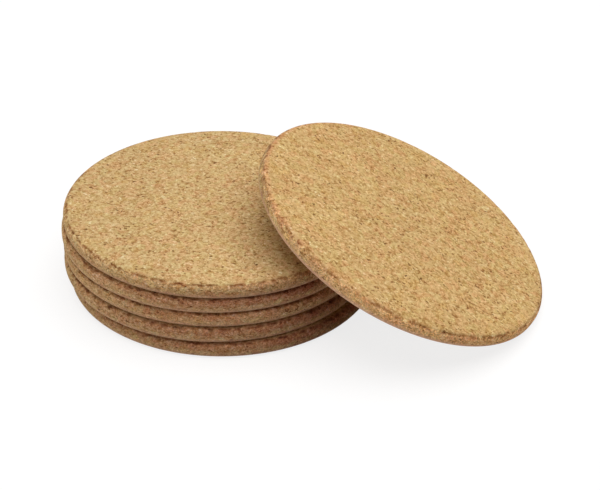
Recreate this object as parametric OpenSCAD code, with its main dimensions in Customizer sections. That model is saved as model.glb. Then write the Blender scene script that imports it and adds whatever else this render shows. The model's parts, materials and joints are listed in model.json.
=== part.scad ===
// Round cork coasters as they are laid out on a table: five lie in a loose stack and
// the last one leans on it, one edge on the table and its underside on the stack's rim.
// Each coaster is one solid disc of pressed cork granules with both edges rounded over.
// The origin is the centre of the lowest coaster's underside. +Z is up, and +X is the way
// the leaning coaster slopes down. All sizes are in millimetres.

/* [Coaster] */
// Diameter of every coaster
coaster_d = 100; // [80:1:120]
// Thickness of every coaster
coaster_t = 5; // [4.5:0.1:6]
// Radius of the round along the upper edge
top_round = 2; // [0.4:0.1:2.2]
// Radius of the round along the lower edge
bottom_round = 2; // [0.4:0.1:2.2]

/* [Stack] */
// Sideways shift of the second coaster from the lowest one, along x and y
shift_2 = [-1.9, 0.1]; // [-5:0.1:5]
// Sideways shift of the third coaster from the lowest one, along x and y
shift_3 = [-2.1, 1.0]; // [-5:0.1:5]
// Sideways shift of the fourth coaster from the lowest one, along x and y
shift_4 = [-2.4, 0.9]; // [-5:0.1:5]
// Sideways shift of the fifth coaster, the top of the stack, along x and y
shift_5 = [-1.7, 1.3]; // [-5:0.1:5]

/* [Leaning coaster] */
// How far its underside runs on past the place where it rests on the stack
lean_overlap = 39.2; // [10:0.1:45]
// Sideways shift from the middle of the lowest coaster, along y
lean_side = 1; // [-10:0.1:10]
// Room between its underside and the rounded rim that it rests on
touch_gap = 0.1; // [0:0.05:0.5]

/* [Hidden] */
$fn = 96;

// Cork seen on the faces that catch the light, and on the browner ones lower down
stack_colors = ["#8f6a48", "#94704c", "#997551", "#9e7a55", "#cda671"];
leaning_color = "#cfa873";

coaster_r = coaster_d / 2;
stack_shifts = [[0, 0], shift_2, shift_3, shift_4, shift_5];
stack_count = len(stack_shifts);
stack_h = stack_count * coaster_t;
top_shift = stack_shifts[stack_count - 1];

// The leaning coaster touches two things: its lower round touches the table, and the flat
// of its underside touches the upper round of the top coaster. Along the slope the two
// round centres are lean_run apart, and across it the two rounds and their gap take up
// lean_offset. Their height difference is lean_rise, so the slope solves
// lean_run * sin(lean_deg) - lean_offset * cos(lean_deg) = lean_rise.
rest_from_centre = coaster_r - lean_overlap;
lean_run = coaster_r - bottom_round + rest_from_centre;
lean_offset = bottom_round + top_round + touch_gap;
lean_rise = stack_h - top_round - bottom_round;
lean_deg = asin(lean_rise / norm([lean_run, lean_offset])) + atan2(lean_offset, lean_run);

// Centre of the leaning coaster's underside, stepped off from the rounded rim it rests on
lean_x = top_shift.x + coaster_r - top_round
    + (top_round + touch_gap) * sin(lean_deg) + rest_from_centre * cos(lean_deg);
lean_z = bottom_round * (1 - cos(lean_deg)) + (coaster_r - bottom_round) * sin(lean_deg);

function stack_name(level) = str("coaster_", level + 1);
levels = [0 : stack_count - 1];

// Half of a coaster cut through its middle: two flat faces joined by a round at each edge
module half_section() {
    translate([0, bottom_round])
        square([coaster_r - top_round, coaster_t - bottom_round]);
    square([coaster_r - bottom_round, coaster_t - top_round]);
    translate([0, bottom_round])
        square([coaster_r, coaster_t - top_round - bottom_round]);
    translate([coaster_r - top_round, coaster_t - top_round])
        circle(top_round);
    translate([coaster_r - bottom_round, bottom_round])
        circle(bottom_round);
}

// One coaster lying flat, with the centre of its underside at the origin
module cork_disc() {
    rotate_extrude()
        half_section();
}

// A coaster of the stack: each lies face to face on the one below, a little out of line
module stacked_coaster(level) {
    shift = stack_shifts[level];
    color(stack_colors[level])
        translate([shift.x, shift.y, level * coaster_t])
            cork_disc();
}

// The coaster that leans on the stack, its underside facing the stack and the table
module leaning_coaster() {
    color(leaning_color)
        translate([lean_x, lean_side, lean_z])
            rotate([0, lean_deg, 0])
                cork_disc();
}

for (level = levels)
    stacked_coaster(level);
leaning_coaster();
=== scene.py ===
"""Looks of six round cork coasters: five in a loose stack and one that leans on it.

Each coaster is one closed surface that takes the place of its plain solid. Its granules are the
cells round scattered points, and they are worked out twice from the same points: by the material,
which tints them, and by the mesh, which sinks between them. Lengths are in millimetres, and turn
into metres when a mesh or the camera is made. The studio's own lengths are in metres throughout.
"""

import json
import logging
import math
from dataclasses import dataclass, field
from enum import Enum
from typing import Any, NamedTuple

import bpy
import numpy as np
from mathutils import Matrix, Vector

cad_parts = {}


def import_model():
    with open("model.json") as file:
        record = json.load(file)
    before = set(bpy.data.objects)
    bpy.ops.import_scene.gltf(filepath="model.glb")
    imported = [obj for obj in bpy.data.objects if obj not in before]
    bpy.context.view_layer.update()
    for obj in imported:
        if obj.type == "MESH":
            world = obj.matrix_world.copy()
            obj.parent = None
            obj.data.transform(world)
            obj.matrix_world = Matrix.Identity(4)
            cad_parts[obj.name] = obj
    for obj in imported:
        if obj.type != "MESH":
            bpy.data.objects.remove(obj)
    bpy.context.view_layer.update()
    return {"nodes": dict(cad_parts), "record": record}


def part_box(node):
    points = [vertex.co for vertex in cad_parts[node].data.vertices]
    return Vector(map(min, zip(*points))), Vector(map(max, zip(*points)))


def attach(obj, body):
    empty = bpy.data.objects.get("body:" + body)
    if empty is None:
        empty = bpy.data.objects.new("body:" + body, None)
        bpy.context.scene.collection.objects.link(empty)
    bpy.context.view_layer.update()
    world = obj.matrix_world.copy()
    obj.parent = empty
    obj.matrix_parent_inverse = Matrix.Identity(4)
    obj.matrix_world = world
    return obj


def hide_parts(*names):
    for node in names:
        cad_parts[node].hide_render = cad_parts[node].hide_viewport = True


LOG = logging.getLogger("cork_coasters")
MM = 0.001

# The sRGB curve: a straight foot up to the knee, and a power above it
FULL_BYTE = 255
SRGB_KNEE = 0.04045
SRGB_FOOT = 12.92
SRGB_OFFSET = 0.055
SRGB_POWER = 2.4

# Places of the mix node's sockets: its two numbers, its two colours and its mixed colour
MIX_FACTOR = 0
MIX_NUMBERS = (2, 3)
MIX_COLOURS = (6, 7)
MIXED_COLOUR = 2

# The shader's cell texture: seed and turns of its scatter's words, and how close is the same spot
WORD_BITS = 32
SEED = 0xDEADBEEF + 13
SEED_STEP = 4
STIRRING_TURNS = (4, 6, 8, 16, 19, 4)
SETTLING_TURNS = (14, 11, 25, 16, 4, 14, 24)
SAME_SPOT = 1e-4

Colour = tuple[float, float, float, float]
Socket = bpy.types.NodeSocket


def linear(hex_colour: str) -> Colour:
    """Turns an sRGB hex colour into the linear colour that a shader takes.

    Args:
        hex_colour: Six hex digits after a hash sign.

    Returns:
        Red, green and blue from 0 to 1 in linear light, and full opacity.
    """
    parts = [byte / FULL_BYTE for byte in bytes.fromhex(hex_colour.lstrip("#"))]
    red, green, blue = (
        part / SRGB_FOOT
        if part <= SRGB_KNEE
        else ((part + SRGB_OFFSET) / (1 + SRGB_OFFSET)) ** SRGB_POWER
        for part in parts
    )
    return red, green, blue, 1.0


def add_node(
    tree: bpy.types.NodeTree,
    kind: str,
    inputs: dict[str | int, Any] | None = None,
    stops: tuple[tuple[float, str], ...] = (),
    **settings: Any,
) -> bpy.types.Node:
    """Adds a node with its settings, and a value or a link on each input that is given.

    Args:
        tree: The node tree that gets the node.
        kind: The node type's own name.
        inputs: A value, or the output to link from, for each input's name or number.
        stops: Places and sRGB hex colours of a colour ramp.
        **settings: Properties of the node itself.

    Returns:
        The new node.
    """
    node = tree.nodes.new(kind)
    for name, value in settings.items():
        setattr(node, name, value)
    for key, value in (inputs or {}).items():
        if isinstance(value, bpy.types.NodeSocket):
            tree.links.new(value, node.inputs[key])
        else:
            node.inputs[key].default_value = value
    for index, (place, hex_colour) in enumerate(stops):
        ramp = node.color_ramp
        known = index < len(ramp.elements)
        stop = ramp.elements[index] if known else ramp.elements.new(place)
        stop.position = place
        stop.color = linear(hex_colour)
    return node


def smooth_step(values: np.ndarray, start: float, end: float) -> np.ndarray:
    """Rises smoothly from 0 at start to 1 at end, as 3t^2 - 2t^3 of the clipped share t."""
    share = np.clip((values - start) / (end - start), 0.0, 1.0)
    return share * share * (3.0 - 2.0 * share)


class Grain(Enum):
    """Sizes of granule in the cork, as the width of one cell in millimetres."""

    CHIP = 2.2
    CRUMB = 0.62


@dataclass(frozen=True)
class Sway:
    """A gentle wave that bends the granules' straight walls."""

    reach: float
    length: float
    phase: tuple[float, float, float]


@dataclass(frozen=True)
class Granules:
    """Pressed granules, as the cells of space that lie nearest to one scattered point per cube.

    The scattered points are those of the shader's own cell texture, so that the surface's relief
    and the material's colours fall on the same granules.
    """

    lean: float = 0.0
    squeeze: float = 1.5
    sways: tuple[Sway, ...] = (
        Sway(reach=0.16, length=4.3, phase=(0.0, 1.3, 2.9)),
        Sway(reach=0.05, length=1.5, phase=(4.1, 0.4, 5.2)),
    )

    def places(self, points: np.ndarray) -> np.ndarray:
        """Turns points of the part's frame into the granules' own bent space.

        The lean is undone by a turn about y, heights are stretched because the press has
        squeezed the granules flat, and then each coordinate gets a sine of the next one.

        Args:
            points: One row per point, in millimetres.

        Returns:
            One row per point, in millimetres of the cork block.
        """
        cos_lean, sin_lean = math.cos(self.lean), math.sin(self.lean)
        x, y, z = points.T
        height = (sin_lean * x + cos_lean * z) * self.squeeze
        block = np.stack([cos_lean * x - sin_lean * z, y, height], axis=1)
        following = np.roll(block, -1, axis=1)
        waves = [
            sway.reach * np.sin(following * (math.tau / sway.length) + np.array(sway.phase))
            for sway in self.sways
        ]
        return block + sum(waves)

    def cells(self, places: np.ndarray, grain: Grain) -> tuple[np.ndarray, np.ndarray]:
        """Finds the granule at each place and the distance to its nearest wall.

        Among the points of the 27 cubes around a place the nearest one owns it. A wall stands
        half way to each other point, square to the line that joins the two.

        Args:
            places: Rows from places().
            grain: Which size of granule.

        Returns:
            Three random numbers from 0 to 1 per place, and the wall distances in millimetres.
        """
        spots = places / grain.value
        cubes = np.floor(spots)
        steps = np.stack(np.meshgrid(*[np.arange(-1, 2)] * 3, indexing="ij"), axis=-1)
        steps = steps.reshape(-1, 3).astype(float)
        ways = np.stack([step + self._scatter(cubes + step) for step in steps]) - (spots - cubes)
        owner = np.linalg.norm(ways, axis=2).argmin(axis=0)
        nearest = ways[owner, np.arange(len(places))]
        across = ways - nearest
        spans = np.linalg.norm(across, axis=2)
        heights = np.sum((ways + nearest) / 2 * across, axis=2) / np.maximum(spans, SAME_SPOT)
        walls = np.where(spans < SAME_SPOT, np.inf, heights).min(axis=0)
        return self._scatter(cubes + steps[owner]), walls * grain.value

    def block_socket(self, tree: bpy.types.NodeTree) -> Socket:
        """Does in nodes what places() does in numbers.

        Args:
            tree: The material's node tree.

        Returns:
            The socket that gives millimetres of the cork block.
        """
        here = add_node(tree, "ShaderNodeTexCoord").outputs["Object"]
        turned = {"Vector": here, "Rotation": (0.0, -self.lean, 0.0), "Scale": (1 / MM,) * 3}
        level = add_node(tree, "ShaderNodeMapping", turned).outputs["Vector"]
        stretch = {0: level, 1: (1.0, 1.0, self.squeeze)}
        block = add_node(tree, "ShaderNodeVectorMath", stretch, operation="MULTIPLY").outputs[0]
        parts = add_node(tree, "ShaderNodeSeparateXYZ", {"Vector": block}).outputs
        order = {"X": parts["Y"], "Y": parts["Z"], "Z": parts["X"]}
        following = add_node(tree, "ShaderNodeCombineXYZ", order).outputs[0]
        for sway in self.sways:
            phase = {0: following, 1: (math.tau / sway.length,) * 3, 2: sway.phase}
            wave = add_node(tree, "ShaderNodeVectorMath", phase, operation="MULTIPLY_ADD")
            sine = add_node(tree, "ShaderNodeVectorMath", {0: wave.outputs[0]}, operation="SINE")
            added = {0: sine.outputs[0], 1: (sway.reach,) * 3, 2: block}
            block = add_node(
                tree, "ShaderNodeVectorMath", added, operation="MULTIPLY_ADD"
            ).outputs[0]
        return block

    def cell_sockets(
        self, tree: bpy.types.NodeTree, block: Socket, grain: Grain
    ) -> tuple[list[Socket], Socket]:
        """Does in nodes what cells() does in numbers.

        Args:
            tree: The material's node tree.
            block: The socket from block_socket().
            grain: Which size of granule.

        Returns:
            The sockets of the three random numbers, and the wall distance's in cell widths.
        """
        size = {"Vector": block, "Scale": 1 / grain.value}
        owner = add_node(tree, "ShaderNodeTexVoronoi", size, feature="F1")
        wall = add_node(tree, "ShaderNodeTexVoronoi", size, feature="DISTANCE_TO_EDGE")
        tints = add_node(tree, "ShaderNodeSeparateColor", {"Color": owner.outputs["Color"]})
        return list(tints.outputs), wall.outputs["Distance"]

    @staticmethod
    def _scatter(cubes: np.ndarray) -> np.ndarray:
        """Gives each cube its three random numbers from 0 to 1.

        The bits of the cube's coordinates, as 32 bit floats, are stirred by subtractions,
        exclusive ors and rotations: three words for the first number, and a fourth word, 1 or
        2, for the second and third. The seed steps up with the count of words.

        Args:
            cubes: Whole coordinates along the last axis.

        Returns:
            An array of the same shape.
        """
        bits = [np.ascontiguousarray(cubes[..., i], np.float32).view(np.uint32) for i in range(3)]
        three_seed, four_seed = (np.uint32(SEED + SEED_STEP * count) for count in (3, 4))

        def turned(word: np.ndarray, by: int) -> np.ndarray:
            """Rotates words to the left."""
            return (word << np.uint32(by)) | (word >> np.uint32(WORD_BITS - by))

        def settled(words: list[np.ndarray]) -> np.ndarray:
            """Stirs three words until each bit of the last depends on all of them.

            Args:
                words: The three words, which are changed.

            Returns:
                The last word.
            """
            for step, by in enumerate(SETTLING_TURNS):
                first, second = (step + 2) % 3, (step + 1) % 3
                words[first] = (words[first] ^ words[second]) - turned(words[second], by)
            return words[2]

        numbers = [settled([three_seed + word for word in bits])]
        for extra in (1.0, 2.0):
            words = [four_seed + word for word in bits]
            for step, by in enumerate(STIRRING_TURNS):
                first, second, third = step % 3, (step + 2) % 3, (step + 1) % 3
                words[first] = (words[first] - words[second]) ^ turned(words[second], by)
                words[second] = words[second] + words[third]
            words[0] = words[0] + np.float32(extra).view(np.uint32)
            numbers.append(settled(words))
        return np.stack(numbers, axis=-1) / float(2**WORD_BITS - 1)


@dataclass(frozen=True)
class DiscSection:
    """Half section of a coaster: two flats, joined by a round, a straight side and a round."""

    radius: float
    thickness: float
    upper_round: float = 2.0
    lower_round: float = 2.0

    @property
    def upper_span(self) -> float:
        """Length of the upper round."""
        return self.upper_round * math.pi / 2

    @property
    def straight_span(self) -> float:
        """Length of the straight part of the side."""
        return self.thickness - self.upper_round - self.lower_round

    @property
    def lower_span(self) -> float:
        """Length of the lower round."""
        return self.lower_round * math.pi / 2

    @property
    def side_span(self) -> float:
        """Length of the whole side from flat to flat."""
        return self.upper_span + self.straight_span + self.lower_span

    def side(self, along: np.ndarray) -> tuple[np.ndarray, np.ndarray, np.ndarray]:
        """Follows the side down from the edge of the upper flat.

        The upper round turns the outward direction from straight up to level, the straight part
        drops, and the lower round turns it on to straight down. Radius and height are the
        sums of what the three parts add.

        Args:
            along: Distances along the section, 0 at the upper flat's edge.

        Returns:
            Distance from the axis, height, and the outward direction's angle above level.
        """
        upper = math.pi / 2 - np.clip(along, 0, self.upper_span) / self.upper_round
        drop = np.clip(along - self.upper_span, 0, self.straight_span)
        past = along - self.upper_span - self.straight_span
        lower = -np.clip(past, 0, self.lower_span) / self.lower_round
        out = (
            self.radius
            - self.upper_round * (1 - np.cos(upper))
            - self.lower_round * (1 - np.cos(lower))
        )
        height = (
            self.thickness
            - self.upper_round * (1 - np.sin(upper))
            - drop
            + self.lower_round * np.sin(lower)
        )
        return out, height, upper + lower


@dataclass(frozen=True)
class DiscSurface:
    """A coaster's closed surface before its relief, with the underside's centre at the origin."""

    points: np.ndarray
    normals: np.ndarray
    along: np.ndarray
    faces: np.ndarray


@dataclass(frozen=True)
class DiscGrid:
    """Lays a grid of four sided faces over a coaster: a square grid on each flat, and rings."""

    face_steps: int = 196
    side_steps: int = 25

    def surface(self, section: DiscSection) -> DiscSurface:
        """Works out the whole closed surface.

        Both flats are square grids bent to discs, and the rings between them carry the section
        round the axis. The flats' border points are the first and the last ring.

        Args:
            section: The coaster's half section.

        Returns:
            The surface in millimetres.
        """
        disc, loop = self._disc(), self._loop()
        flat_count, ring_count = len(disc), len(loop)
        angles = np.arctan2(disc[loop, 1], disc[loop, 0])
        along = np.linspace(0, section.side_span, self.side_steps + 1)[1:-1]
        out, height, slope = (grid[:, None] for grid in section.side(along))
        cosines, sines = np.cos(angles)[None, :], np.sin(angles)[None, :]
        level = np.ones_like(cosines)
        rings = np.stack([out * cosines, out * sines, height * level], axis=2)
        ring_normals = np.stack(
            [np.cos(slope) * cosines, np.cos(slope) * sines, np.sin(slope) * level], axis=2
        )
        upper_reach = section.radius - section.upper_round
        lower_reach = section.radius - section.lower_round
        heights = np.full((flat_count, 1), section.thickness)
        points = np.concatenate(
            [
                np.hstack([disc * upper_reach, heights]),
                np.hstack([disc * lower_reach, heights * 0]),
                rings.reshape(-1, 3),
            ]
        )
        up = np.tile([0.0, 0.0, 1.0], (flat_count, 1))
        normals = np.concatenate([up, -up, ring_normals.reshape(-1, 3)])
        from_axis = np.linalg.norm(disc, axis=1)
        path = np.concatenate(
            [
                (from_axis - 1) * upper_reach,
                section.side_span + (1 - from_axis) * lower_reach,
                np.repeat(along, ring_count),
            ]
        )
        return DiscSurface(points, normals, path, self._faces(flat_count, loop))

    def _disc(self) -> np.ndarray:
        """Bends a square grid to a disc of radius 1.

        Each square ring of the grid becomes a circle of the same reach, and each quarter of
        the ring a quarter of the circle, with its points evenly spaced.

        Returns:
            One row of x and y per grid point.
        """
        ticks = np.linspace(-1, 1, self.face_steps + 1)
        u, v = np.meshgrid(ticks, ticks, indexing="ij")
        wide = np.abs(u) > np.abs(v)
        reach = np.where(wide, u, v)
        share = np.where(wide, v, u) / np.where(reach == 0, 1, reach) * math.pi / 4
        angle = np.where(wide, share, math.pi / 2 - share)
        return np.stack([reach * np.cos(angle), reach * np.sin(angle)], axis=2).reshape(-1, 2)

    def _loop(self) -> np.ndarray:
        """Follows the border of a flat's grid once round to the left.

        Returns:
            The numbers of the border points.
        """
        last = self.face_steps
        run = np.arange(last)
        corners = [
            (np.full(last, last), run),
            (last - run, np.full(last, last)),
            (np.zeros(last, int), last - run),
            (run, np.zeros(last, int)),
        ]
        return np.concatenate([row * (last + 1) + column for row, column in corners])

    def _faces(self, flat_count: int, loop: np.ndarray) -> np.ndarray:
        """Joins the grid points to faces that all look outwards.

        Args:
            flat_count: How many points one flat has.
            loop: The border points of a flat.

        Returns:
            Four point numbers per face.
        """
        grid = np.arange(flat_count).reshape(self.face_steps + 1, -1)
        upper = np.stack([grid[:-1, :-1], grid[1:, :-1], grid[1:, 1:], grid[:-1, 1:]], axis=2)
        upper = upper.reshape(-1, 4)
        inner = np.arange((self.side_steps - 1) * len(loop)).reshape(-1, len(loop))
        rings = np.vstack([loop, inner + 2 * flat_count, loop + flat_count])
        onward = np.roll(rings, -1, axis=1)
        side = np.stack([rings[:-1], rings[1:], onward[1:], onward[:-1]], axis=2)
        return np.concatenate([upper, upper[:, ::-1] + flat_count, side.reshape(-1, 4)])


@dataclass(frozen=True)
class Zones:
    """Shares from 0 to 1 that mark the parts of a coaster's surface, one per point."""

    side: np.ndarray
    stain_and_shade: np.ndarray
    shoulder_shade: np.ndarray
    lip: np.ndarray
    brink: np.ndarray


@dataclass(frozen=True)
class CorkRelief:
    """Depths, in millimetres, to which a sanded cork surface lies under its even envelope."""

    even: float = 0.02
    step: float = 0.03
    seam: float = 0.03
    seam_width: float = 0.3
    crater_width: float = 0.6
    pit: float = 0.3
    pit_share: float = 0.02
    notch: float = 0.2
    notch_share: float = 0.15
    side_calm: float = 0.6
    lip_calm: float = 0.5

    def sink(self, granules: Granules, places: np.ndarray, zones: Zones) -> np.ndarray:
        """Works out how deep each point sinks.

        Every granule stands at its own height, seams run between granules, a few crumbs have
        fallen out as pits, and along the brink of the upper face some chips have broken out as
        notches. Pits are shallower on the side, and the lip that the cutter has pressed keeps
        only a part of all this.

        Args:
            granules: The cork's granules.
            places: Rows from Granules.places().
            zones: The parts of the surface.

        Returns:
            One depth per point, in millimetres.
        """
        chip_tints, chip_walls = granules.cells(places, Grain.CHIP)
        crumb_tints, crumb_walls = granules.cells(places, Grain.CRUMB)
        inside = smooth_step(crumb_walls, 0.0, self.seam_width)
        fallen = crumb_tints[:, 0] < self.pit_share
        broken = chip_tints[:, 0] < self.notch_share
        pits = fallen * self.pit * inside * (1 - self.side_calm * zones.side)
        crater = smooth_step(chip_walls, 0.0, self.crater_width)
        notches = broken * self.notch * crater * zones.brink
        rough = self.step * (1 - crumb_tints[:, 1]) * inside + self.seam * (1 - inside)
        return self.even + (rough + pits + notches) * (1 - self.lip_calm * zones.lip)


@dataclass(frozen=True)
class Mottle:
    """Soft noise of a real size in millimetres, spread over a range of shares or shades."""

    size: float
    low: float
    high: float
    start: float = 0.25
    end: float = 0.75

    def socket(self, tree: bpy.types.NodeTree, block: Socket) -> Socket:
        """Draws the noise.

        Args:
            tree: The material's node tree.
            block: Millimetres of the cork block.

        Returns:
            A socket that goes smoothly from low to high.
        """
        noise = add_node(tree, "ShaderNodeTexNoise", {"Vector": block, "Scale": 1 / self.size})
        span = {
            "Value": noise.outputs[0],
            "From Min": self.start,
            "From Max": self.end,
            "To Min": self.low,
            "To Max": self.high,
        }
        return add_node(
            tree, "ShaderNodeMapRange", span, interpolation_type="SMOOTHSTEP"
        ).outputs[0]


class Casts(NamedTuple):
    """Tints over the granules' own colours: a cast on the whole coaster, and painted shade on its
    shoulder.
    """

    whole: str
    shoulder_shade: str


class Batch(Enum):
    """Blocks of cork that coasters were cut from, as the cast that each gives the granules, with
    painted shade on the shoulder, deepest on the coasters that lie under others.
    """

    # Painted shade on the shoulder: none on the top coaster, light or deep on those under others,
    # faint on the leaning one
    STRAW = Casts("#f3f5f5", "#ffffff")
    STRAW_LIGHTLY_SHADED = Casts("#f3f5f5", "#f1dee3")
    STRAW_DEEPLY_SHADED = Casts("#f3f5f5", "#dcbfc7")
    UMBER_DEEPLY_SHADED = Casts("#edefef", "#dcbfc7")
    HONEY = Casts("#fffdf5", "#fff2fc")


@dataclass(frozen=True)
class AgglomeratedCork:
    """Cork granules pressed with a little binder, sawn into discs and sanded, left bare.

    To the eye that is a matt mosaic of tan, straw and pinkish granules with cream flecks, a few
    dark specks of bark and thin dark seams. The cut side is streaky, and stained redder or greyer
    than the sanded flats; painted shade deepens that stain round one half, and darkens the upper
    shoulder, most of all on coasters that lie under others. It is ragged and dark along the upper
    face's brink, partly chipped and partly painted shade where the face turns into the side, and
    has a smooth pale lip where the cutter pressed the lower edge.
    """

    batch: Batch
    granule_tones: tuple[tuple[float, str], ...] = (
        (0.00, "#644022"),
        (0.04, "#8c6236"),
        (0.10, "#b38955"),
        (0.25, "#caa46f"),
        (0.50, "#d7b37f"),
        (0.75, "#dfbe8b"),
        (0.92, "#e8cb9b"),
        (1.00, "#f4e1bc"),
    )
    chip_hues: tuple[tuple[float, str], ...] = (
        (0.00, "#fff2ec"),
        (0.20, "#fff9f4"),
        (0.60, "#fdfffa"),
        (0.85, "#fbfff2"),
        (1.00, "#fff9e8"),
    )
    # Hues of the side's stain, which is deepened round one half of the side as painted shade
    stain_and_shade_hues: tuple[tuple[float, str], ...] = (
        (0.00, "#e7c6c3"),
        (0.20, "#f5e0e3"),
        (0.55, "#fff3fb"),
        (0.85, "#fff8ff"),
        (1.00, "#fffdf8"),
    )
    side_cast: str = "#ffffff"
    chip_weight: float = 0.15
    lip_colour: str = "#daac94"
    lip_share: float = 0.42
    seam_tint: str = "#dac29e"
    seam_width: float = 0.13
    # Dark brink: chipped crumbs, and painted shade where the face turns sharply into the side
    brink_chips_and_shade_tint: str = "#a07a56"
    sunk_tint: str = "#8e6b52"
    breaks: Mottle = Mottle(size=1.3, low=0.0, high=1.0, start=0.42, end=0.66)
    ragged: Mottle = Mottle(size=2.4, low=0.0, high=1.0, start=0.36, end=0.64)
    # The cells in the cork, about 0.04 mm wide, are too fine to show, so these are coarser
    pores: Mottle = Mottle(size=0.3, low=0.90, high=1.08)
    clouds: Mottle = Mottle(size=22.0, low=0.95, high=1.03)
    streaks: Mottle = Mottle(size=0.5, low=0.76, high=1.30, start=0.32, end=0.66)
    dome_width: float = 0.34
    dome_heights: tuple[float, float] = (0.4, 1.0)
    pore_depth: float = 0.6
    relief: float = 0.08
    roughness: float = 0.88
    specular: float = 0.25

    def material(self, name: str, granules: Granules) -> bpy.types.Material:
        """Makes the cork of one coaster.

        Args:
            name: The material's name.
            granules: The coaster's granules.

        Returns:
            The material.
        """
        made = bpy.data.materials.new(name)
        made.use_nodes = True
        tree = made.node_tree
        tree.nodes.clear()
        block = granules.block_socket(tree)
        chip, _ = granules.cell_sockets(tree, block, Grain.CHIP)
        crumb, wall = granules.cell_sockets(tree, block, Grain.CRUMB)
        pores = self.pores.socket(tree, block)
        look = {
            "Base Color": self._colour(tree, block, chip, crumb[0], wall, pores),
            "Roughness": self.roughness,
            "Specular IOR Level": self.specular,
            "Normal": self._bump(tree, wall, crumb[1], pores),
        }
        shader = add_node(tree, "ShaderNodeBsdfPrincipled", look)
        add_node(tree, "ShaderNodeOutputMaterial", {"Surface": shader.outputs[0]})
        return made

    def _seam(self, tree: bpy.types.NodeTree, block: Socket, wall: Socket) -> Socket:
        """Draws the dark seams between crumbs, open in some places and closed in others.

        Args:
            tree: The material's node tree.
            block: Millimetres of the cork block.
            wall: Distance to the crumb's wall, in crumb widths.

        Returns:
            A socket that is 1 on an open seam and 0 elsewhere.
        """
        reach = self.seam_width / Grain.CRUMB.value
        span = {"Value": wall, "From Max": reach, "To Min": 1.0, "To Max": 0.0}
        line = add_node(tree, "ShaderNodeMapRange", span, interpolation_type="SMOOTHSTEP")
        both = {0: line.outputs[0], 1: self.breaks.socket(tree, block)}
        return add_node(tree, "ShaderNodeMath", both, operation="MULTIPLY").outputs[0]

    def _bump(
        self, tree: bpy.types.NodeTree, wall: Socket, rise: Socket, pores: Socket
    ) -> Socket:
        """Rounds each crumb to a low dome of its own height, with fine pores on it.

        Args:
            tree: The material's node tree.
            wall: Distance to the crumb's wall, in crumb widths.
            rise: A random number per crumb.
            pores: Fine noise.

        Returns:
            The socket of the bent normal.
        """
        span = {"Value": wall, "From Max": self.dome_width}
        dome = add_node(tree, "ShaderNodeMapRange", span, interpolation_type="SMOOTHSTEP")
        low, high = self.dome_heights
        spread = {"Value": rise, "To Min": low, "To Max": high}
        level = add_node(tree, "ShaderNodeMapRange", spread)
        raised = {0: dome.outputs[0], 1: level.outputs[0]}
        domes = add_node(tree, "ShaderNodeMath", raised, operation="MULTIPLY")
        rough = {0: pores, 1: self.pore_depth, 2: domes.outputs[0]}
        height = add_node(tree, "ShaderNodeMath", rough, operation="MULTIPLY_ADD")
        bump = {"Height": height.outputs[0], "Strength": 1.0, "Distance": self.relief * MM}
        return add_node(tree, "ShaderNodeBump", bump).outputs[0]

    def _colour(
        self,
        tree: bpy.types.NodeTree,
        block: Socket,
        chip: list[Socket],
        crumb: Socket,
        wall: Socket,
        pores: Socket,
    ) -> Socket:
        """Lays tints over the granules' tones: hues, pores, clouds, seams, stain with painted
        shade, painted shade on the shoulder, side, ragged brink with painted edge shade, darkening
        where the surface sinks, lip.

        Args:
            tree: The material's node tree.
            block: Millimetres of the cork block.
            chip: Three random numbers per chip.
            crumb: A random number per crumb.
            wall: Distance to the crumb's wall, in crumb widths.
            pores: Fine noise.

        Returns:
            The socket of the finished colour.
        """
        side, stain_and_shade, shoulder_shade, lip, brink, sunk = (
            add_node(tree, "ShaderNodeAttribute", attribute_name=name).outputs["Fac"]
            for name in ("side", "stain_and_shade", "shoulder_shade", "lip", "brink", "sunk")
        )
        first, second = MIX_NUMBERS
        shared = {MIX_FACTOR: self.chip_weight, first: crumb, second: chip[0]}
        tone = add_node(tree, "ShaderNodeMix", shared)
        colour, hues, stain_and_shade_patches = (
            add_node(tree, "ShaderNodeValToRGB", {"Fac": share}, stops=stops).outputs[0]
            for share, stops in (
                (tone.outputs[0], self.granule_tones),
                (chip[1], self.chip_hues),
                (chip[2], self.stain_and_shade_hues),
            )
        )
        torn_and_shaded = {0: brink, 1: self.ragged.socket(tree, block)}
        layers = (
            (1.0, linear(self.batch.value.whole)),
            (1.0, hues),
            (1.0, pores),
            (1.0, self.clouds.socket(tree, block)),
            (self._seam(tree, block, wall), linear(self.seam_tint)),
            # The side's stain patches, deepest round one half as painted shade
            (stain_and_shade, stain_and_shade_patches),
            # Painted shade on the shoulder, where the coaster above shades it
            (shoulder_shade, linear(self.batch.value.shoulder_shade)),
            (side, linear(self.side_cast)),
            (side, self.streaks.socket(tree, block)),
            # Ragged dark brink, partly chipped edge and partly painted shade of the edge's turn
            (
                add_node(tree, "ShaderNodeMath", torn_and_shaded, operation="MULTIPLY").outputs[0],
                linear(self.brink_chips_and_shade_tint),
            ),
            (sunk, linear(self.sunk_tint)),
        )
        under, over = MIX_COLOURS
        for factor, tint in layers:
            mixed = {MIX_FACTOR: factor, under: colour, over: tint}
            colour = add_node(
                tree, "ShaderNodeMix", mixed, data_type="RGBA", blend_type="MULTIPLY"
            ).outputs[MIXED_COLOUR]
        share = add_node(tree, "ShaderNodeMath", {0: lip, 1: self.lip_share}, operation="MULTIPLY")
        pressed = {MIX_FACTOR: share.outputs[0], under: colour, over: linear(self.lip_colour)}
        return add_node(tree, "ShaderNodeMix", pressed, data_type="RGBA").outputs[MIXED_COLOUR]


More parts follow.
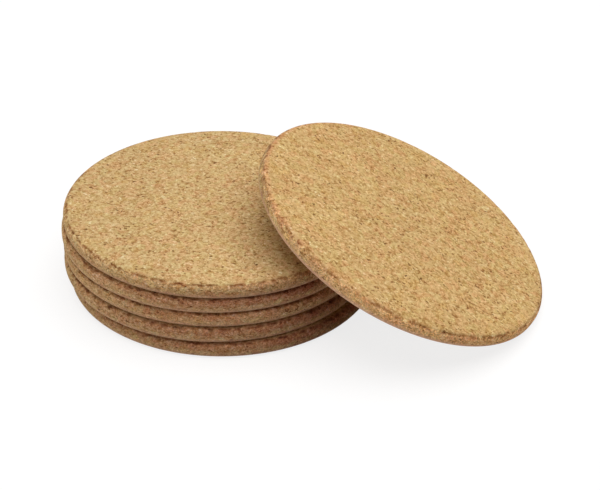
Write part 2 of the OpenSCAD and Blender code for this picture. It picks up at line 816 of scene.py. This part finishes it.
@dataclass
class Coaster:
    """One coaster, lying flat or leaning: a cork disc with worn, rounded edges."""

    name: str
    section: DiscSection
    centre: tuple[float, float, float]
    lean: float = 0.0
    grid: DiscGrid = field(default_factory=DiscGrid)
    relief: CorkRelief = field(default_factory=CorkRelief)
    side_start: tuple[float, float] = (0.8, 1.3)
    side_end: tuple[float, float] = (-0.4, 0.4)
    shoulder_rise: tuple[float, float] = (-0.3, 0.6)
    shoulder_fall: tuple[float, float] = (2.2, 4.4)
    lip_rise: tuple[float, float] = (0.0, 0.6)
    lip_fall: tuple[float, float] = (0.8, 2.6)
    # Where round the axis the painted shade is deepest: on the stack, the right end under the
    # leaning coaster
    shade_way: float = math.radians(-30)
    brink_place: float = 1.0
    brink_width: float = 0.56
    sunk_depths: tuple[float, float] = (0.1, 0.36)

    @property
    def granules(self) -> Granules:
        """The granules of the block that this coaster was cut from."""
        return Granules(self.lean)

    def build(self) -> bpy.types.Object:
        """Makes the coaster's mesh, with its relief and the attributes that its cork reads.

        Returns:
            The object, on its body and in place of its plain solid.
        """
        surface = self.grid.surface(self.section)
        cos_lean, sin_lean = math.cos(self.lean), math.sin(self.lean)
        turn = np.array([[cos_lean, 0, sin_lean], [0, 1, 0], [-sin_lean, 0, cos_lean]])
        points = surface.points @ turn.T + np.array(self.centre)
        zones = self._zones(surface)
        sink = self.relief.sink(self.granules, self.granules.places(points), zones)
        points = points - (surface.normals @ turn.T) * sink[:, None]
        mesh = bpy.data.meshes.new(self.name + "_cork")
        mesh.from_pydata(points * MM, [], surface.faces)
        mesh.polygons.foreach_set("use_smooth", np.ones(len(surface.faces), bool))
        shares = {**vars(zones), "sunk": smooth_step(sink, *self.sunk_depths)}
        for name, values in shares.items():
            mesh.attributes.new(name, "FLOAT", "POINT").data.foreach_set("value", values)
        made = bpy.data.objects.new(self.name + "_cork", mesh)
        bpy.context.scene.collection.objects.link(made)
        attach(made, self.name)
        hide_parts(self.name)
        return made

    def dress(self, made: bpy.types.Object, finish: AgglomeratedCork) -> None:
        """Gives the coaster its cork, turned with the block that it was cut from."""
        made.data.materials.append(finish.material("agglomerated_cork_" + self.name, self.granules))

    def _zones(self, surface: DiscSurface) -> Zones:
        """Marks out the cut side, its stain and shoulder with their painted shade, the pressed lip
        and the face's brink.

        The side, the shoulder and the lip rise and fall smoothly along the section, and the
        brink is a bell curve just past the flat's edge. The stain and the shoulder's painted shade
        fade round the axis as a cosine, from the way in which the painted shade is deepest.

        Args:
            surface: The coaster's surface before its relief.

        Returns:
            The shares of each point.
        """
        along, heights = surface.along, surface.points[:, 2]
        side = smooth_step(along, *self.side_start)
        side = side * smooth_step(self.section.side_span - along, *self.side_end)
        shoulder_shade = smooth_step(along, *self.shoulder_rise)
        shoulder_shade = shoulder_shade * (1 - smooth_step(along, *self.shoulder_fall))
        angles = np.arctan2(surface.points[:, 1], surface.points[:, 0])
        turned = (1 + np.cos(angles - self.shade_way)) / 2
        lip = smooth_step(heights, *self.lip_rise) * (1 - smooth_step(heights, *self.lip_fall))
        brink = np.exp(-(((along - self.brink_place) / self.brink_width) ** 2))
        return Zones(side, side * turned, shoulder_shade * turned, lip * side, brink)


@dataclass
class Stack:
    """The coasters that lie on each other, lowest first."""

    coasters: list[Coaster]
    # Lowest first; the coasters under others get painted shade on their shoulders
    batches: tuple[Batch, ...] = (
        Batch.UMBER_DEEPLY_SHADED,
        Batch.UMBER_DEEPLY_SHADED,
        Batch.STRAW_LIGHTLY_SHADED,
        Batch.STRAW_DEEPLY_SHADED,
        Batch.STRAW,
    )

    @classmethod
    def from_frame(cls, nodes: dict[str, bpy.types.Object]) -> "Stack":
        """Takes each coaster's size and place from its solid's box.

        Args:
            nodes: The frame's nodes by name.

        Returns:
            The stack.
        """
        coasters = []
        for name in sorted(node for node in nodes if node.startswith("coaster_")):
            low, high = (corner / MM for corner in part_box(name))
            section = DiscSection((high.x - low.x) / 2, high.z - low.z)
            centre = ((low.x + high.x) / 2, (low.y + high.y) / 2, low.z)
            coasters.append(Coaster(name, section, centre))
        return cls(coasters)

    def build(self) -> list[bpy.types.Object]:
        """Makes every coaster of the stack."""
        return [coaster.build() for coaster in self.coasters]

    def dress(self, pieces: list[bpy.types.Object]) -> None:
        """Gives every coaster of the stack the cork of its batch."""
        for coaster, piece, batch in zip(self.coasters, pieces, self.batches):
            coaster.dress(piece, AgglomeratedCork(batch))


@dataclass
class LeaningCoaster:
    """The coaster that leans on the stack, one edge on the table."""

    coaster: Coaster
    finish: AgglomeratedCork = AgglomeratedCork(
        Batch.HONEY,
        # Dark grey stain hues, deepest on the left: painted shade on the rim that the low lamp
        # lights
        stain_and_shade_hues=(
            (0.00, "#969c98"),
            (0.20, "#a6b3ae"),
            (0.55, "#b3c7c0"),
            (0.85, "#c2d8d1"),
            (1.00, "#d8ede2"),
        ),
        side_cast="#fff2f9",
        # A paler, stronger lip and streaks lifted above 1: painted light on the rim's front and
        # right
        lip_colour="#e4b6a2",
        lip_share=0.6,
        ragged=Mottle(size=2.4, low=0.0, high=0.85, start=0.38, end=0.64),
        streaks=Mottle(size=0.5, low=1.14, high=1.92, start=0.32, end=0.66),
    )

    @classmethod
    def from_record(cls, record: dict[str, Any], section: DiscSection) -> "LeaningCoaster":
        """Takes its place and slope from the mount on its upper face.

        Args:
            record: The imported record.
            section: The section that all the coasters share.

        Returns:
            The leaning coaster.
        """
        mount = next(mount for mount in record["mounts"] if mount["name"] == "cup_face")
        axis = Vector(mount["axis"]).normalized()
        centre = Vector(mount["pos_m"]) / MM - axis * section.thickness
        coaster = Coaster(
            "leaning_coaster",
            section,
            tuple(centre),
            lean=math.atan2(axis.x, axis.z),
            side_start=(1.2, 1.7),
            # Painted shade on the leaning coaster's left, where the low lamp lights its rim
            shade_way=math.radians(160),
            brink_place=1.5,
        )
        return cls(coaster)

    def build(self) -> list[bpy.types.Object]:
        """Makes the coaster."""
        return [self.coaster.build()]

    def dress(self, pieces: list[bpy.types.Object]) -> None:
        """Gives the coaster its cork."""
        self.coaster.dress(pieces[0], self.finish)


@dataclass(frozen=True)
class Softbox:
    """A square soft lamp, placed in metres and aimed at the object."""

    name: str
    place: tuple[float, float, float]
    width: float
    watts: float

    def light(self, target: Vector) -> None:
        """Hangs the lamp and aims it.

        Args:
            target: The point that it looks at, in metres.
        """
        lamp = bpy.data.lights.new(self.name, "AREA")
        lamp.size = self.width
        lamp.energy = self.watts
        made = bpy.data.objects.new(self.name, lamp)
        made.location = self.place
        made.rotation_euler = (target - Vector(self.place)).to_track_quat("-Z", "Y").to_euler()
        bpy.context.scene.collection.objects.link(made)


@dataclass(frozen=True)
class Studio:
    """A pale floor under a big soft lamp, with a low lamp at the front left and a weak even fill.

    The floor gives the object less light than a white one would, and is seen as white.
    """

    floor_half: float = 12.0
    bounce_colour: str = "#bcbab9"
    floor_colour: str = "#81807f"
    fill: float = 0.02
    glow: float = 0.80
    target: Vector = field(default_factory=lambda: Vector((0.02, 0.0, 0.02)))
    boxes: tuple[Softbox, ...] = (
        Softbox("overhead_softbox", place=(0.14, 0.11, 1.25), width=1.7, watts=24.4),
        Softbox("low_left_softbox", place=(-1.3, -1.0, 0.42), width=1.0, watts=10.1),
    )

    def build(self) -> None:
        """Lays the floor, hangs the lamps and lights the world."""
        half = self.floor_half
        mesh = bpy.data.meshes.new("floor")
        corners = [(-half, -half, 0), (half, -half, 0), (half, half, 0), (-half, half, 0)]
        mesh.from_pydata(corners, [], [(0, 1, 2, 3)])
        mesh.materials.append(self._floor_paint())
        floor = bpy.data.objects.new("floor", mesh)
        bpy.context.scene.collection.objects.link(floor)
        for box in self.boxes:
            box.light(self.target)
        self._world()
        bpy.context.scene.view_settings.view_transform = "Standard"

    def _seen(self, tree: bpy.types.NodeTree) -> Socket:
        """Tells what is seen, straight or in a reflection, from what only gives light.

        Args:
            tree: The node tree of the floor's paint or of the world.

        Returns:
            A socket that is 1 for seen and 0 for lighting rays.
        """
        path = add_node(tree, "ShaderNodeLightPath").outputs
        seen = path["Is Camera Ray"]
        for kind in ("Is Glossy Ray", "Is Transmission Ray"):
            seen = add_node(
                tree, "ShaderNodeMath", {0: seen, 1: path[kind]}, operation="MAXIMUM"
            ).outputs[0]
        return seen

    def _floor_paint(self) -> bpy.types.Material:
        """Matt pale paint: it keeps the shadow, and a glow lifts it to white when it is seen.

        Returns:
            The material.
        """
        paint = bpy.data.materials.new("matt_pale_paint")
        paint.use_nodes = True
        tree = paint.node_tree
        tree.nodes.clear()
        seen = self._seen(tree)
        shades = dict(zip(MIX_COLOURS, (linear(self.bounce_colour), linear(self.floor_colour))))
        shade = add_node(tree, "ShaderNodeMix", {MIX_FACTOR: seen, **shades}, data_type="RGBA")
        pale = {"Color": shade.outputs[MIXED_COLOUR]}
        matt = add_node(tree, "ShaderNodeBsdfDiffuse", pale).outputs[0]
        level = add_node(
            tree, "ShaderNodeMath", {0: seen, 1: self.glow}, operation="MULTIPLY"
        ).outputs[0]
        glow = add_node(tree, "ShaderNodeEmission", {"Strength": level}).outputs[0]
        both = add_node(tree, "ShaderNodeAddShader", {0: matt, 1: glow}).outputs[0]
        add_node(tree, "ShaderNodeOutputMaterial", {"Surface": both})
        return paint

    def _world(self) -> None:
        """Fills the room evenly with weak light, and shows white where nothing stands."""
        world = bpy.data.worlds.new("white_room")
        world.use_nodes = True
        tree = world.node_tree
        tree.nodes.clear()
        levels = dict(zip(MIX_NUMBERS, (self.fill, 1.0)))
        level = add_node(tree, "ShaderNodeMix", {MIX_FACTOR: self._seen(tree), **levels}).outputs[0]
        air = {"Color": linear("#ffffff"), "Strength": level}
        air_shader = add_node(tree, "ShaderNodeBackground", air).outputs[0]
        add_node(tree, "ShaderNodeOutputWorld", {"Surface": air_shader})
        bpy.context.scene.world = world


@dataclass(frozen=True)
class Viewpoint:
    """The camera, at the angle that was fitted to the outlines of the coasters."""

    azimuth: float = 9.71
    elevation: float = 32.06
    roll: float = 1.34
    distance: float = 474.45
    target: tuple[float, float, float] = (21.79, 19.58, 0.0)
    focal_pixels: float = 1395.86
    picture_width: float = 600.0
    sensor_width: float = 36.0
    near_limit: float = 10.0

    def build(self) -> None:
        """Sets up the camera and makes it the scene's own."""
        turn, rise, roll = (
            math.radians(angle) for angle in (self.azimuth, self.elevation, self.roll)
        )
        back = Vector(
            (math.sin(turn) * math.cos(rise), -math.cos(turn) * math.cos(rise), math.sin(rise))
        )
        level = Vector((math.cos(turn), math.sin(turn), 0))
        upright = back.cross(level)
        right = math.cos(roll) * level + math.sin(roll) * upright
        up = math.cos(roll) * upright - math.sin(roll) * level
        lens = bpy.data.cameras.new("camera")
        lens.sensor_width = self.sensor_width
        lens.lens = self.focal_pixels * self.sensor_width / self.picture_width
        lens.clip_start = self.near_limit * MM
        camera = bpy.data.objects.new("camera", lens)
        place = (Vector(self.target) + back * self.distance) * MM
        axes = Matrix((right, up, back)).transposed().to_4x4()
        camera.matrix_world = Matrix.Translation(place) @ axes
        bpy.context.scene.collection.objects.link(camera)
        bpy.context.scene.camera = camera


def main() -> None:
    """Builds the stack, the leaning coaster, the studio and the camera, in that order."""
    logging.basicConfig(level=logging.INFO, format="%(name)s: %(message)s")
    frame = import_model()
    stack = Stack.from_frame(frame["nodes"])
    leaning = LeaningCoaster.from_record(frame["record"], stack.coasters[0].section)
    for assembly in (stack, leaning):
        pieces = assembly.build()
        assembly.dress(pieces)
        for piece in pieces:
            LOG.info("%s: %d faces", piece.name, len(piece.data.polygons))
    Studio().build()
    Viewpoint().build()


if __name__ == "__main__":
    main()
